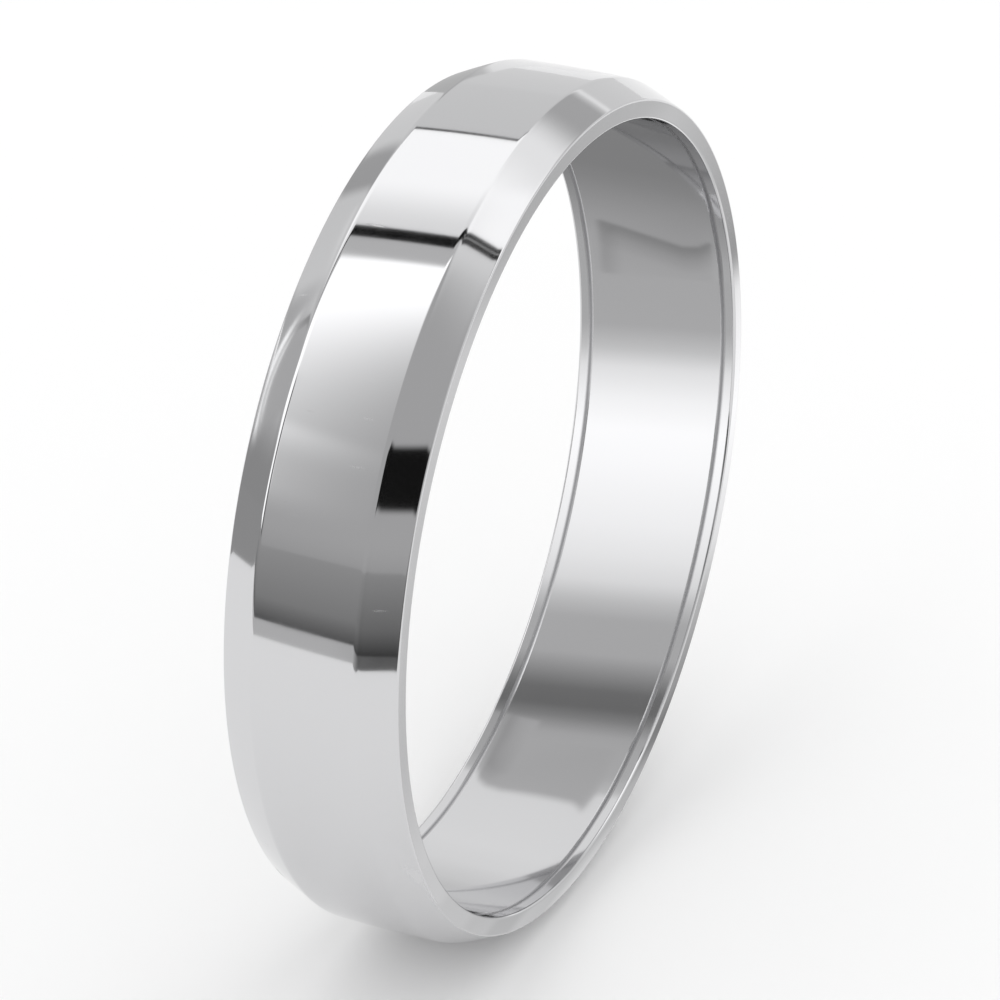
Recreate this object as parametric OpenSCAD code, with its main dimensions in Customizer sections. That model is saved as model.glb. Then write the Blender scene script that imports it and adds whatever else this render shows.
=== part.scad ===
// Flat-topped wedding band with bevelled edges, one solid piece of polished white metal.
// Millimetres. The hole's centre is the origin, the ring's axis is Y, and the ring stands upright.

/* [Band] */
// Inside diameter, the ring size (17.9 mm is size 56)
inner_d = 17.9; // [15:0.1:22]
// Width of the band along the finger
band_w = 4.0; // [3:0.1:8]
// Thickness of the metal at the flat centre
band_t = 0.8; // [0.7:0.05:1.8]

/* [Bevels] */
// Width of each bevel, measured along the finger
bevel_w = 0.81; // [0.5:0.01:1.1]
// How far each bevel falls towards its side face
bevel_drop = 0.37; // [0.2:0.01:0.45]
// Softening radius of the crease between the flat centre and a bevel
crease_r = 0.3; // [0.1:0.05:0.6]
// Softening radius of the edge between a bevel and its side face
rim_r = 0.06; // [0.03:0.01:0.08]

/* [Inside] */
// Distance from each side face to the middle of the fine line cut round the hole
line_inset = 0.3; // [0.2:0.01:0.6]
// Width of each line
line_w = 0.1; // [0.06:0.01:0.16]
// Depth of each line
line_depth = 0.02; // [0.01:0.005:0.03]
// Softening radius of the edge between the hole and a side face
lip_r = 0.06; // [0.03:0.01:0.1]

/* [Hidden] */
$fn = 360;

bore_r = inner_d / 2;
land_r = bore_r + band_t;
half_w = band_w / 2;
line_r = (line_w * line_w / 4 + line_depth * line_depth) / (2 * line_depth);

// Half of the section as corners [radius, distance along the finger, softening radius]
half_section = [
    [bore_r, half_w, lip_r],
    [land_r - bevel_drop, half_w, rim_r],
    [land_r, half_w - bevel_w, crease_r],
];

// The other half mirrors it, so the corners run once round the whole section
section = concat(
    half_section,
    [for (i = [2:-1:0]) [half_section[i][0], -half_section[i][1], half_section[i][2]]]
);

function unit(v) = v / norm(v);
function corner(i) = section[(i + len(section)) % len(section)];
function point(i) = [corner(i)[0], corner(i)[1]];
function to_last(i) = unit(point(i - 1) - point(i));
function to_next(i) = unit(point(i + 1) - point(i));
function half_angle(i) = acos(to_last(i) * to_next(i)) / 2;
function setback(i) = corner(i)[2] / tan(half_angle(i));
function arc_centre(i) =
    point(i) + unit(to_last(i) + to_next(i)) * corner(i)[2] / sin(half_angle(i));

// The sliver between corner i and the arc that rounds it
module corner_waste(i) {
    difference() {
        polygon([
            point(i),
            point(i) + to_next(i) * setback(i),
            arc_centre(i),
            point(i) + to_last(i) * setback(i),
        ]);
        translate(arc_centre(i)) circle(r = corner(i)[2]);
    }
}

// The section with every corner rounded by an arc that is tangent to both its sides
module rounded_section() {
    difference() {
        polygon([for (i = [0:len(section) - 1]) point(i)]);
        for (i = [0:len(section) - 1]) corner_waste(i);
    }
}

// The round-bottomed lines cut into the hole, one near each side face
module line_cuts() {
    for (side = [-1, 1])
        translate([bore_r + line_depth - line_r, side * (half_w - line_inset)])
            circle(r = line_r);
}

module band() {
    color("silver")
        rotate([90, 0, 0])
            rotate_extrude()
                difference() {
                    rounded_section();
                    line_cuts();
                }
}

band();
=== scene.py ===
"""Looks for the wedding band: a polished white-metal ring standing on a pale floor.

Lengths are in mm, except where a comment says metres, and MM turns them into the metres that Blender uses.
"""
import math

import bpy
import numpy as np
from mathutils import Matrix, Vector


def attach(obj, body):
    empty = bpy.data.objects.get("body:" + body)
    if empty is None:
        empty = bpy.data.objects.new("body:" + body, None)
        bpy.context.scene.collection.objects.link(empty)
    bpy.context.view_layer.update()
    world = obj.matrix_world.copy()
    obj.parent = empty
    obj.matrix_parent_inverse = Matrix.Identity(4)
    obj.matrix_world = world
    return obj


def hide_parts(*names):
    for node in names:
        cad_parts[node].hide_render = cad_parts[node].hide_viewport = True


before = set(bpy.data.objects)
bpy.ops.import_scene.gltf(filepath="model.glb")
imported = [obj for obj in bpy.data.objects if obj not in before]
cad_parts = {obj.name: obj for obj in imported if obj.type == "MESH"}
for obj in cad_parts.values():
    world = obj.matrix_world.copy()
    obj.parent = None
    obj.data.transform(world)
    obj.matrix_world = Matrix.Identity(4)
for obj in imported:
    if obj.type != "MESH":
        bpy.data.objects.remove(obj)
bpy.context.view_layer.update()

MM = 0.001
# Faces round the ring
SEGMENTS = 720

# ---------------------------------------------------------------- the ring's section
BORE_R = 8.95
LAND_R = 9.76
# How far the domed land falls to its edges
LAND_CROWN = 0.02
HALF_WIDTH = 2.0
BEVEL_WIDTH = 0.81
RIM_R = 9.38
# How far the middle of a bevel stands out of the flat
BEVEL_CROWN = 0.006
LINE_INSET = 0.3
LINE_WIDTH = 0.16
LINE_DEPTH = 0.003
# Softening radii: land to bevel, bevel to side face, side face to hole
CREASE_ROUND = 0.3
RIM_ROUND = 0.06
LIP_ROUND = 0.06


def crown_point(t):
    """A point of the slightly domed land: t runs from -1 to 1 across it."""
    y = t * (HALF_WIDTH - BEVEL_WIDTH)
    return Vector((LAND_R - LAND_CROWN * t * t, y))


def crown_normal(t):
    """The land's outward normal at t."""
    slope = 2 * LAND_CROWN * t / (HALF_WIDTH - BEVEL_WIDTH)
    return Vector((1, slope)).normalized()


def round_corner(before, corner, after, radius, steps):
    """The arc that rounds a corner between its two neighbours, as (point, outward normal) pairs."""
    to_before = (before - corner).normalized()
    to_after = (after - corner).normalized()
    half_angle = to_before.angle(to_after) / 2
    centre = corner + (to_before + to_after).normalized() * radius / math.sin(half_angle)
    start = corner + to_before * radius / math.tan(half_angle) - centre
    end = corner + to_after * radius / math.tan(half_angle) - centre
    turn = start.angle(end)
    arc = []
    for i in range(steps + 1):
        a = turn * i / steps
        ray = (start * math.sin(turn - a) + end * math.sin(a)) / math.sin(turn)
        arc.append((centre + ray, ray.normalized()))
    return arc


def domed(start, end, crown, steps):
    """Points between two arcs on a slightly domed face, with the dome's own normals; crown 0 is flat."""
    a, b = start[0], end[0]
    along = (b - a).normalized()
    out = start[1]
    points = []
    for i in range(1, steps):
        t = 2 * i / steps - 1
        lift = crown * (1 - t * t)
        slope = -4 * crown * t / (b - a).length
        points.append((a.lerp(b, i / steps) + out * lift, (out - along * slope).normalized()))
    return points


def hole_wall(y):
    """The hole's wall at y, with the fine line cut near each end, and how far into the line it is."""
    t = (abs(y) - (HALF_WIDTH - LINE_INSET)) / (LINE_WIDTH / 2)
    if abs(t) >= 1:
        return Vector((BORE_R, y)), Vector((-1, 0)), 0
    inside = (1 + math.cos(math.pi * t)) / 2
    slope = -LINE_DEPTH * math.pi * math.sin(math.pi * t) / LINE_WIDTH
    return Vector((BORE_R + LINE_DEPTH * inside, y)), Vector((-1, slope)).normalized(), inside


def half_section():
    """From the middle of the land, round the +Y side, to the middle of the hole.

    Each entry is (point, normal, how far into the line it is), and a point is (radius, y).
    """
    rim = Vector((RIM_R, HALF_WIDTH))
    lip = Vector((BORE_R, HALF_WIDTH))
    land_end = crown_point(1)
    crease = round_corner(crown_point(0.95), land_end, rim, CREASE_ROUND, 12)
    rim_arc = round_corner(land_end, rim, lip, RIM_ROUND, 10)
    lip_arc = round_corner(rim, lip, Vector((BORE_R, 0)), LIP_ROUND, 10)
    land_stop = crease[0][0].y / (HALF_WIDTH - BEVEL_WIDTH)
    path = [(crown_point(t), crown_normal(t)) for t in np.linspace(0, land_stop, 12, endpoint=False)]
    path += crease + domed(crease[-1], rim_arc[0], BEVEL_CROWN, 10) + rim_arc
    path += domed(rim_arc[-1], lip_arc[0], 0, 4) + lip_arc
    path = [(point, normal, 0) for point, normal in path]
    line_start = HALF_WIDTH - LINE_INSET + LINE_WIDTH / 2
    line_end = line_start - LINE_WIDTH
    path += [hole_wall(y) for y in np.linspace(line_start, line_end, 13)]
    path += [hole_wall(y) for y in np.linspace(line_end, 0, 8)[1:]]
    return path


def whole_section():
    """Both halves as one closed path; the -Y half mirrors the other."""
    half = half_section()
    flip = [(Vector((p.x, -p.y)), Vector((n.x, -n.y)), cut) for p, n, cut in half[1:-1]]
    return half + flip[::-1]


def revolve(name, section, segments):
    """A closed ring about Y from (radius, y) points with their exact normals."""
    angles = np.arange(segments) * 2 * math.pi / segments
    ring = np.stack([np.cos(angles), np.zeros(segments), np.sin(angles)], axis=1)
    points = np.array([p[:] for p, _, _ in section])
    normals = np.array([n[:] for _, n, _ in section])
    cuts = [cut for _, _, cut in section]
    axis = np.array([0.0, 1.0, 0.0])
    verts = ring[:, None, :] * points[None, :, :1] + axis * points[None, :, 1:]
    norms = ring[:, None, :] * normals[None, :, :1] + axis * normals[None, :, 1:]
    count = len(section)
    faces = []
    for i in range(segments):
        here = i * count
        there = ((i + 1) % segments) * count
        for j in range(count):
            k = (j + 1) % count
            faces.append((here + j, here + k, there + k, there + j))
    mesh = bpy.data.meshes.new(name)
    mesh.from_pydata((verts.reshape(-1, 3) * MM).tolist(), [], faces)
    mesh.polygons.foreach_set("use_smooth", [True] * len(faces))
    mesh.normals_split_custom_set_from_vertices(norms.reshape(-1, 3).tolist())
    mesh.attributes.new("cut", "FLOAT", "POINT").data.foreach_set("value", cuts * segments)
    obj = bpy.data.objects.new(name, mesh)
    bpy.context.collection.objects.link(obj)
    return obj


# ---------------------------------------------------------------- node helpers
class Nodes:
    """Short calls for the nodes that the materials and the sky use."""

    def __init__(self, tree):
        self.tree = tree
        tree.nodes.clear()

    def add(self, kind, **settings):
        node = self.tree.nodes.new(kind)
        for key, value in settings.items():
            setattr(node, key, value)
        return node

    def link(self, source, target):
        self.tree.links.new(source, target)

    def feed(self, socket, value):
        if isinstance(value, bpy.types.NodeSocket):
            self.link(value, socket)
        else:
            socket.default_value = value

    def math(self, operation, *values):
        node = self.add("ShaderNodeMath", operation=operation)
        for socket, value in zip(node.inputs, values):
            self.feed(socket, value)
        return node.outputs[0]

    def smooth_step(self, value, low, high):
        node = self.add("ShaderNodeMapRange", interpolation_type="SMOOTHSTEP")
        self.feed(node.inputs["Value"], value)
        node.inputs["From Min"].default_value = low
        node.inputs["From Max"].default_value = high
        return node.outputs["Result"]

    def mix(self, factor, a, b):
        node = self.add("ShaderNodeMix", data_type="FLOAT")
        self.feed(node.inputs[0], factor)
        self.feed(node.inputs[2], a)
        self.feed(node.inputs[3], b)
        return node.outputs[0]


# ---------------------------------------------------------------- the metal
METAL_COLOR = (0.66, 0.66, 0.67, 1)
# Base colour of the fine lines in the hole: painted shade that stands in for the shade inside the groove
LINE_SHADE_COLOR = (0.32, 0.32, 0.33, 1)
POLISH_ROUGHNESS = (0.03, 0.09)
NICK_ROUGHNESS = 0.3
LINE_ROUGHNESS = 0.4
HAZE_PER_METRE = 700
# Steps of the nick pattern per mm, round the ring and along the finger
NICKS_ROUND = 5
NICKS_ALONG = 0.9
# The noise levels where a nick begins and is full, and the radius that keeps nicks out of the hole
NICK_LEVELS = (0.74, 0.8)
NICK_INNER_R = 9.2


def tone(grey):
    """How bright the studio is where the metal mirrors it as this sRGB grey, of 255."""
    return ((grey / 255 + 0.055) / 1.055) ** 2.4 / METAL_COLOR[0]


def polished_metal():
    """High polish with a faint haze and a few nicks; the hole's fine lines are duller, and darker by
    painted shade.
    """
    material = bpy.data.materials.new("polished_white_metal")
    material.use_nodes = True
    g = Nodes(material.node_tree)
    metal = g.add("ShaderNodeBsdfPrincipled")
    g.link(metal.outputs[0], g.add("ShaderNodeOutputMaterial").inputs["Surface"])
    metal.inputs["Metallic"].default_value = 1

    cut = g.add("ShaderNodeAttribute", attribute_name="cut").outputs["Fac"]
    # painted shade: the base colour darkens inside the fine lines of the hole
    color = g.add("ShaderNodeMix", data_type="RGBA")
    g.link(cut, color.inputs["Factor"])
    color.inputs[6].default_value = METAL_COLOR
    color.inputs[7].default_value = LINE_SHADE_COLOR
    g.link(color.outputs[2], metal.inputs["Base Color"])

    where = g.add("ShaderNodeTexCoord").outputs["Object"]
    haze = g.add("ShaderNodeTexNoise")
    haze.inputs["Scale"].default_value = HAZE_PER_METRE
    haze.inputs["Detail"].default_value = 6
    g.link(where, haze.inputs["Vector"])
    rough = g.add("ShaderNodeMapRange")
    g.link(haze.outputs[0], rough.inputs["Value"])
    rough.inputs["To Min"].default_value = POLISH_ROUGHNESS[0]
    rough.inputs["To Max"].default_value = POLISH_ROUGHNESS[1]

    # the pattern is packed closer round the ring than along the finger, so its nicks lie across the band
    split = g.add("ShaderNodeSeparateXYZ")
    g.link(where, split.inputs[0])
    x, y, z = split.outputs
    spread = g.add("ShaderNodeCombineXYZ")
    g.link(g.math("MULTIPLY", g.math("ARCTAN2", z, x), LAND_R * NICKS_ROUND), spread.inputs[0])
    g.link(g.math("MULTIPLY", y, NICKS_ALONG / MM), spread.inputs[1])
    nicks = g.add("ShaderNodeTexNoise")
    nicks.inputs["Scale"].default_value = 1
    nicks.inputs["Detail"].default_value = 1
    g.link(spread.outputs[0], nicks.inputs["Vector"])
    nick = g.smooth_step(nicks.outputs[0], *NICK_LEVELS)
    radius_squared = g.math("ADD", g.math("MULTIPLY", x, x), g.math("MULTIPLY", z, z))
    outside = g.math("GREATER_THAN", radius_squared, (NICK_INNER_R * MM) ** 2)
    worn = g.mix(g.math("MULTIPLY", nick, outside), rough.outputs[0], NICK_ROUGHNESS)
    g.link(g.mix(cut, worn, LINE_ROUGHNESS), metal.inputs["Roughness"])
    return material


# ---------------------------------------------------------------- the camera
# Azimuth is measured from the ring's axis, +Y, towards +X; the rise is along the camera's own up
AZIMUTH = math.radians(65.415)
ELEVATION = math.radians(28.594)
CAMERA_DISTANCE = 99.43
CAMERA_RISE = 0.057
CAMERA_LENS = 161.24
OUTWARD = Vector((
    math.sin(AZIMUTH) * math.cos(ELEVATION),
    math.cos(AZIMUTH) * math.cos(ELEVATION),
    math.sin(ELEVATION),
))
RIGHT = (-OUTWARD).cross(Vector((0, 0, 1))).normalized()
UP = RIGHT.cross(-OUTWARD)
CAMERA_AT = OUTWARD * CAMERA_DISTANCE + UP * CAMERA_RISE


def add_camera():
    """At the photograph's angle; its clip distances are in metres."""
    data = bpy.data.cameras.new("camera")
    data.lens = CAMERA_LENS
    data.sensor_width = 36
    data.clip_start = 0.005
    data.clip_end = 20
    camera = bpy.data.objects.new("camera", data)
    turn = Matrix((RIGHT, UP, OUTWARD)).transposed().to_4x4()
    camera.matrix_world = Matrix.Translation(CAMERA_AT * MM) @ turn
    bpy.context.collection.objects.link(camera)
    bpy.context.scene.camera = camera


# ---------------------------------------------------------------- the studio
def add_floor():
    """A plain pale sheet that the ring stands on; its half size is in metres."""
    half = 3.0
    z = -LAND_R * MM
    corners = [(-half, -half, z), (half, -half, z), (half, half, z), (-half, half, z)]
    mesh = bpy.data.meshes.new("floor")
    mesh.from_pydata(corners, [], [(0, 1, 2, 3)])
    floor = bpy.data.objects.new("floor", mesh)
    bpy.context.collection.objects.link(floor)
    material = bpy.data.materials.new("pale_floor")
    material.use_nodes = True
    shader = material.node_tree.nodes["Principled BSDF"]
    shader.inputs["Base Color"].default_value = (0.9, 0.9, 0.9, 1)
    shader.inputs["Roughness"].default_value = 0.9
    shader.inputs["Specular IOR Level"].default_value = 0.1
    mesh.materials.append(material)


class Sky:
    """The studio round the ring, painted patch over patch; greys are as the metal shows them."""

    ROOM_GREY = 193
    # How far the ceiling patches lean along X for each step along Y
    SKEW = 0.0416

    def __init__(self, graph):
        self.g = graph
        direction = graph.add("ShaderNodeTexCoord").outputs["Generated"]
        split = graph.add("ShaderNodeSeparateXYZ")
        graph.link(direction, split.inputs[0])
        x, y, z = split.outputs
        self.az = graph.math("DEGREES", graph.math("ARCTAN2", y, x))
        self.el = graph.math("DEGREES", graph.math("ARCSINE", z))
        up = graph.math("MAXIMUM", z, 0.01)
        self.v = graph.math("DIVIDE", y, up)
        self.u = graph.math("ADD", graph.math("DIVIDE", x, up), graph.math("MULTIPLY", self.v, self.SKEW))
        self.level = tone(self.ROOM_GREY)

    def band(self, value, low, high, soft_low, soft_high):
        """1 between low and high, with soft ends."""
        g = self.g
        rise = g.smooth_step(value, low - soft_low / 2, low + soft_low / 2)
        fall = g.smooth_step(value, high - soft_high / 2, high + soft_high / 2)
        return g.math("MULTIPLY", rise, g.math("SUBTRACT", 1, fall))

    def paint(self, mask, grey):
        """Lay a grey over what is painted so far, where the mask is 1."""
        self.level = self.g.mix(mask, self.level, tone(grey))

    def side(self, az, el, grey, soft=(6, 6, 6, 6)):
        """A patch between two azimuths, from +X towards +Y (they may pass 180), and two elevations."""
        g = self.g
        centre = (az[0] + az[1]) / 2
        half = (az[1] - az[0]) / 2
        turn = g.math("WRAP", g.math("SUBTRACT", self.az, centre), 180, -180)
        across = self.band(turn, -half, half, soft[0], soft[1])
        upward = self.band(self.el, el[0], el[1], soft[2], soft[3])
        self.paint(g.math("MULTIPLY", across, upward), grey)

    def slant(self, turn, across, el, grey, soft):
        """A streak that leans by turn degrees: across is its azimuths where the elevation is 0."""
        g = self.g
        slope = g.math("ADD", self.az, g.math("MULTIPLY", self.el, math.tan(math.radians(turn))))
        width = self.band(slope, across[0], across[1], soft[0], soft[1])
        length = self.band(self.el, el[0], el[1], soft[2], soft[3])
        self.paint(g.math("MULTIPLY", width, length), grey)

    def overhead(self, u, v, grey, soft=(0.02, 0.02, 0.2, 0.2)):
        """A patch of the ceiling, in slopes away from straight up along X and along Y."""
        g = self.g
        across = self.band(self.u, u[0], u[1], soft[0], soft[1])
        along = self.band(self.v, v[0], v[1], soft[2], soft[3])
        above = g.smooth_step(self.el, 8, 14)
        self.paint(g.math("MULTIPLY", g.math("MULTIPLY", across, along), above), grey)


# The plain light for the floor and the background; mirrored rays get the painted studio
PLAIN_LIGHT = (1.12, 1.12, 1.12, 1)


def add_world():
    """The painted studio for reflections, and plain soft light for everything else."""
    world = bpy.data.worlds.new("studio")
    bpy.context.scene.world = world
    world.use_nodes = True
    g = Nodes(world.node_tree)
    sky = Sky(g)
    # back of the room, lighter above the skirting
    sky.side((-170, -110), (17, 90), 190, soft=(10, 20, 3, 6))
    sky.side((150, 190), (18.5, 20.5), 218, soft=(10, 10, 2, 2))
    # front of the room, grey and darker towards the floor
    sky.side((-84, 70), (-90, 90), 156, soft=(10, 50, 1, 1))
    sky.side((-84, 70), (-90, 3), 116, soft=(10, 20, 1, 22))
    # low left, with a lamp's two narrow edges
    sky.side((-132, -121), (14, 26), 150, soft=(5, 4, 5, 5))
    sky.side((-98, -76), (6, 30), 162, soft=(6, 10, 8, 8))
    sky.slant(45, (-69.6, -68.2), (9, 23), 252, soft=(0.5, 0.5, 5, 5))
    sky.slant(45, (-67.5, -66.8), (12, 22), 235, soft=(0.5, 0.5, 5, 5))
    sky.side((-78, -66), (-12, 11), 132, soft=(4, 4, 2, 8))
    # front softbox on the far side
    sky.side((-83, -41), (30, 90), 262, soft=(5, 46, 8, 1))
    sky.side((-75, -41), (17, 34), 262, soft=(4, 46, 8, 4))
    sky.side((-63, -50), (-5, 20), 262, soft=(4, 4, 4, 2))
    sky.side((-51, -41), (-3, 42), 90, soft=(4, 4, 6, 6))
    # back softbox overhead, with its dark lower frame
    sky.overhead((-0.995, -0.13), (-1.7, 2), 246, soft=(0.03, 0.03, 0.4, 1))
    sky.overhead((-1.015, -0.98), (-1.2, 0.05), 5, soft=(0.006, 0.006, 0.2, 0.2))
    sky.overhead((-0.30, -0.13), (-2, 0.2), 214, soft=(0.3, 0.02, 1, 0.3))
    sky.side((150, 190), (36, 60), 224, soft=(10, 10, 12, 20))
    sky.side((150, 190), (22, 40), 158, soft=(10, 10, 4, 16))
    # the gap between the two softboxes
    sky.overhead((-0.10, 0.02), (-2, 0.1), 172, soft=(0.01, 0.04, 1, 0.3))
    sky.overhead((-0.10, 0.0), (0.1, 2), 206, soft=(0.01, 0.2, 0.3, 1))
    sky.overhead((-0.134, -0.07), (-2, 2), 8, soft=(0.008, 0.008, 1, 1))
    sky.overhead((-0.106, -0.101), (0.15, 1), 190, soft=(0.004, 0.004, 0.1, 0.1))
    # the camera
    sky.side((18, 42), (20.7, 35.6), 16, soft=(3, 3, 2, 2))

    studio = g.add("ShaderNodeBackground")
    g.link(sky.level, studio.inputs["Color"])
    plain = g.add("ShaderNodeBackground")
    plain.inputs["Color"].default_value = PLAIN_LIGHT
    choose = g.add("ShaderNodeMixShader")
    g.link(g.add("ShaderNodeLightPath").outputs["Is Glossy Ray"], choose.inputs[0])
    g.link(plain.outputs[0], choose.inputs[1])
    g.link(studio.outputs[0], choose.inputs[2])
    out = g.add("ShaderNodeOutputWorld")
    g.link(choose.outputs[0], out.inputs["Surface"])


def card_material():
    """Light of each card, read from the tones kept at its corners."""
    material = bpy.data.materials.new("card")
    material.use_nodes = True
    g = Nodes(material.node_tree)
    glow = g.add("ShaderNodeAttribute", attribute_name="glow")
    light = g.add("ShaderNodeEmission")
    g.link(glow.outputs["Fac"], light.inputs["Strength"])
    g.link(light.outputs[0], g.add("ShaderNodeOutputMaterial").inputs["Surface"])
    return material


def add_card(name, rows, material):
    """A sheet that only the metal sees: rows of (x, y, z, grey) corners in mm, all of one length."""
    across = len(rows[0])
    corners = [corner for row in rows for corner in row]
    faces = []
    for i in range(len(rows) - 1):
        for j in range(across - 1):
            first = i * across + j
            faces.append((first, first + 1, first + across + 1, first + across))
    mesh = bpy.data.meshes.new(name)
    mesh.from_pydata([(x * MM, y * MM, z * MM) for x, y, z, _ in corners], [], faces)
    mesh.attributes.new("glow", "FLOAT", "POINT").data.foreach_set("value", [tone(c[3]) for c in corners])
    mesh.materials.append(material)
    card = bpy.data.objects.new(name, mesh)
    bpy.context.collection.objects.link(card)
    card.visible_camera = False
    card.visible_diffuse = False
    card.visible_shadow = False


# Cards for the floor lie just over it
FLOOR_Z = -LAND_R + 0.05

# The greys in the tables from here to TABLE_EDGE were set from tones read off the photograph, and most of
# the hole's are close to the photograph's own tone at that place: they aren't free design values.
# What the hole's wall mirrors, as (degrees from +X towards +Z, grey): its upper, middle and lower part
# The upper part's greys are a painted shadow: the ring's shadow on the floor behind it, darker than the
# plain floor
HOLE_TOP = ((119, 112), (126, 118), (138, 122), (146, 124), (150, 130), (155, 142))
HOLE_MIDDLE = (
    (169, 164), (178, 166), (182, 190), (185, 222), (190, 241), (195, 252), (200, 249),
    (205, 243), (210, 237), (215, 227), (219, 214), (222, 186), (225, 165), (231, 164),
    (234, 136), (237, 104), (240, 100), (242, 122), (245, 160), (247, 163),
)
HOLE_BOTTOM = ((262, 209), (272, 210), (278, 205), (284, 192), (290, 176), (298, 160))
# Across the wall the middle part goes a little past both ends, and its angles fall by the slope per mm of y
HOLE_Y = (2.3, 0, -2.3)
HOLE_SLOPE = 0.85

# The upper part's card, rows below included, carries that painted shadow of the ring on the floor
# Across the wall: y, the upper border's angle, and the greys at UPPER_STEPS degrees from it
UPPER_BORDER = (
    (2.3, 161, 154, 162, 166, 167), (1.56, 161, 154, 162, 166, 167),
    (1.5, 160.4, 120, 148, 160, 165), (1.2, 161.8, 122, 146, 160, 165),
    (0.8, 162.4, 123, 146, 160, 165), (-0.8, 160.5, 124, 146, 158, 165),
    (-1.25, 160, 126, 134, 143, 150), (-1.42, 160, 152, 158, 160, 163),
    (-2.3, 160, 154, 162, 166, 167),
)
UPPER_STEPS = (0, 2.5, 5, 11)
# Across the wall: y, the lower border's angle, and the greys at LOWER_STEPS degrees from it
LOWER_BORDER = (
    (2.3, 253, 162, 165, 176), (1.42, 254, 162, 165, 180), (1.32, 258.6, 161, 165, 170),
    (1.2, 257.6, 160, 162, 162), (1.0, 256.8, 160, 162, 162), (-0.8, 257.8, 163, 162, 164),
    (-1.2, 257.6, 156, 150, 162), (-1.45, 256.6, 142, 142, 158), (-1.58, 255, 154, 160, 172),
    (-2.3, 255, 157, 163, 178),
)
LOWER_STEPS = (-9, -3, 0)
# The lighter side of each border: degrees from it, and grey
BEFORE_UPPER = (-0.7, 152)
PAST_LOWER = (1.5, 208)
# The angle at which the lower part begins
LOWER_START = 244

# The lower part's card stands behind the ring, and farther back for the lowest stretch of the wall:
# its distance from the ring's middle, how much farther it goes, and the angles between which it does
BACK_DEPTH = 5
BACK_EXTRA = 3
BACK_TURN = (262, 272)
# How much of the way to the opposite wall the middle part's card stands at
ROOM_REACH = 0.75


def line_of_sight(degrees, y):
    """A point of the hole's wall, and where the camera's view goes after it is mirrored there."""
    out = Vector((math.cos(math.radians(degrees)), 0, math.sin(math.radians(degrees))))
    point = out * BORE_R + Vector((0, y, 0))
    return point, (point - CAMERA_AT).normalized().reflect(out)


def to_floor(_, point, away):
    """How far the view goes to the floor."""
    return (FLOOR_Z - point.z) / away.z


def to_back(degrees, point, away):
    """How far the view goes to the card behind the ring."""
    start, end = BACK_TURN
    depth = BACK_DEPTH + BACK_EXTRA * min(max((degrees - start) / (end - start), 0), 1)
    return (-depth - point.y) / away.y


def most_of_the_way_across(_, point, away):
    """How far the view goes to the card inside the hole."""
    return -2 * ROOM_REACH * (point.x * away.x + point.z * away.z) / (away.x ** 2 + away.z ** 2)


def hole_card(name, rows, reach, material):
    """A card that the hole's wall mirrors: rows of (degrees, y, grey) as they show on the wall."""
    corners = []
    for row in rows:
        corners.append([])
        for degrees, y, grey in row:
            point, away = line_of_sight(degrees, y)
            corners[-1].append((*(point + away * reach(degrees, point, away)), grey))
    add_card(name, corners, material)


def near_border(border, steps, greys):
    """(degrees, grey) pairs at these steps from a border."""
    return [(border + step, grey) for step, grey in zip(steps, greys)]


def add_hole_cards(material):
    """One card for each part of the wall, so that no part's card stands in front of another's."""
    upper = []
    for y, border, *greys in UPPER_BORDER:
        edge = (border + BEFORE_UPPER[0], BEFORE_UPPER[1])
        row = [*HOLE_TOP, edge, *near_border(border, UPPER_STEPS, greys)]
        upper.append([(degrees, y, grey) for degrees, grey in row])
    # the upper part's card lies just over the floor and glows with a painted shadow of the ring
    hole_card("hole_floor_shadow", upper, to_floor, material)

    middle = [[(degrees - HOLE_SLOPE * y, y, grey) for y in HOLE_Y] for degrees, grey in HOLE_MIDDLE]
    hole_card("hole_room", middle, most_of_the_way_across, material)

    lower = []
    for y, border, *greys in LOWER_BORDER:
        edge = (border + PAST_LOWER[0], PAST_LOWER[1])
        row = [(LOWER_START, greys[0]), *near_border(border, LOWER_STEPS, greys), edge, *HOLE_BOTTOM]
        lower.append([(degrees, y, grey) for degrees, grey in row])
    hole_card("hole_back", lower, to_back, material)


# Greys that the side face mirrors, as (height, on the far half of the ring, on the near half)
SIDE_GREYS = (
    (11, 185, 150), (9.4, 182, 160), (7, 168, 200), (4, 152, 188), (2.6, 138, 186),
    (1.6, 230, 180), (-1.6, 250, 178), (-4.6, 222, 190), (-5.9, 168, 190), (-7.2, 130, 192),
    (-8.0, 62, 198), (-8.7, 150, 203), (-9.4, 206, 204),
)
# Where on the floor a part of the side face looks, by its height over the floor: slope and curve along Y
# and along X, then the half length of that spot and how it grows
SIDE_ALONG_Y = (0.64, 0.0105)
SIDE_ALONG_X = (-1.43, -0.0325)
SIDE_REACH = 10
SIDE_GROWTH = 0.0195


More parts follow.
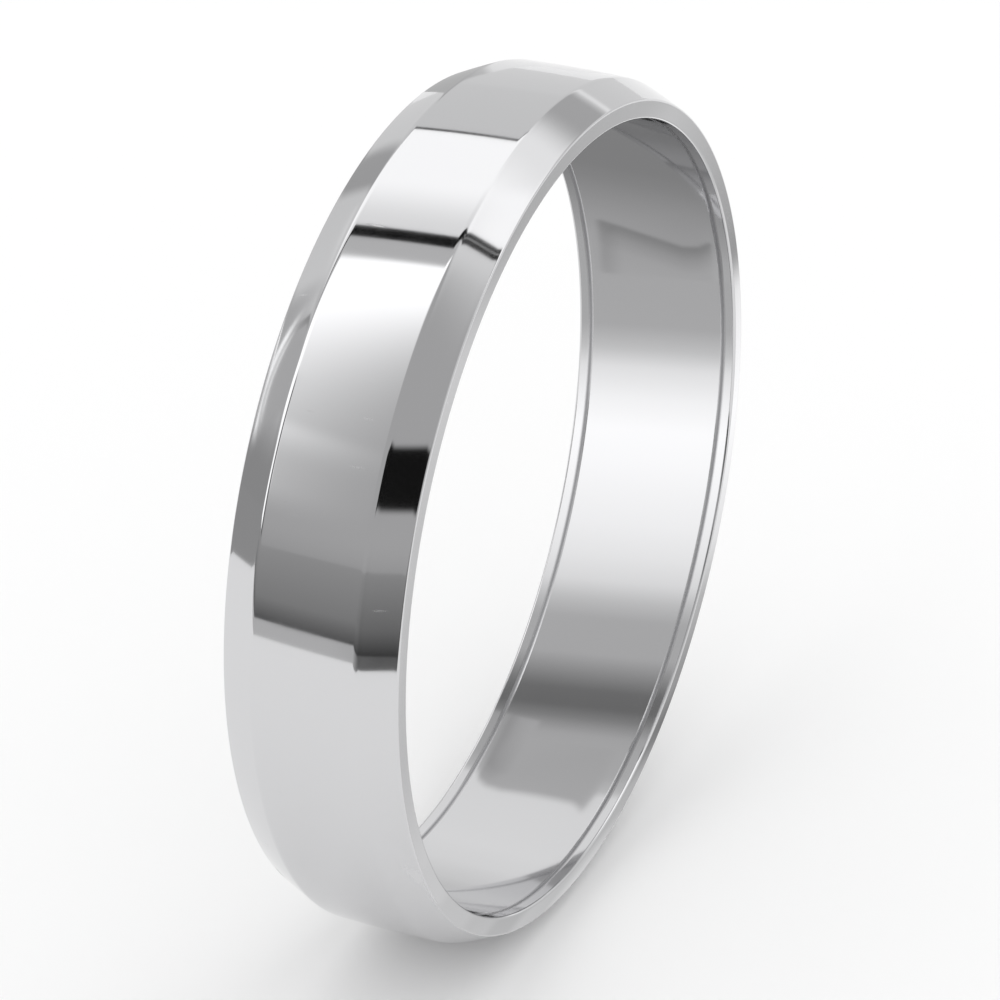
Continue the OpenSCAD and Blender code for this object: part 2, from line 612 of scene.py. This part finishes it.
def add_side_card(material):
    """Greys on the floor where the side face looks; a higher part looks farther out and towards -X."""
    rows = []
    for z, far, near in SIDE_GREYS:
        height = z - FLOOR_Z
        y = HALF_WIDTH + SIDE_ALONG_Y[0] * height + SIDE_ALONG_Y[1] * height * height
        middle = SIDE_ALONG_X[0] * height + SIDE_ALONG_X[1] * height * height
        reach = SIDE_REACH * (1 + SIDE_GROWTH * height)
        rows.append([(middle - reach, y, FLOOR_Z, far), (middle + reach, y, FLOOR_Z, near)])
    add_card("side_floor", rows, material)


# The table's front edge: x, y, the height and grey of its pale strip, and the greys of the room
# at ROOM_RISES over the strip
TABLE_EDGE = (
    (48, -82, 3.6, 168, 60, 88, 120, 138), (46.5, -27, 3.6, 168, 60, 88, 120, 138),
    (45.5, -14, 3.6, 168, 60, 86, 118, 136), (44, 2, 3.3, 125, 52, 76, 108, 132),
    (41, 14.5, 2.6, 85, 44, 64, 98, 130), (22, 66, 2.6, 85, 44, 64, 98, 130),
)
ROOM_RISES = (0, 0.9, 4.5, 14)
# The room at the table's left end
LEFT_ROOM_X = (15, 80)
LEFT_ROOM_Y = -82
LEFT_ROOM_HEIGHT = 17
LEFT_ROOM_GREY = 134


def add_table_edge(material):
    """The table's front edge as a pale strip, the dark room above it, and the room on the left."""
    foot = [(x, y, FLOOR_Z, grey) for x, y, top, grey, *_ in TABLE_EDGE]
    rim = [(x, y, FLOOR_Z + top, grey) for x, y, top, grey, *_ in TABLE_EDGE]
    add_card("table_edge", [foot, rim], material)
    room = []
    for i, rise in enumerate(ROOM_RISES):
        room.append([(x, y, FLOOR_Z + top + rise, greys[i]) for x, y, top, _, *greys in TABLE_EDGE])
    add_card("room_front", room, material)
    left = []
    for z in (0, LEFT_ROOM_HEIGHT):
        left.append([(x, LEFT_ROOM_Y, FLOOR_Z + z, LEFT_ROOM_GREY) for x in LEFT_ROOM_X])
    add_card("room_left", left, material)


def add_cards():
    material = card_material()
    add_hole_cards(material)
    add_side_card(material)
    add_table_edge(material)


band = revolve("polished_band", whole_section(), SEGMENTS)
band.data.materials.append(polished_metal())
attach(band, "root")
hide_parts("band")

add_camera()
add_floor()
add_world()
add_cards()
bpy.context.scene.view_settings.view_transform = "Standard"
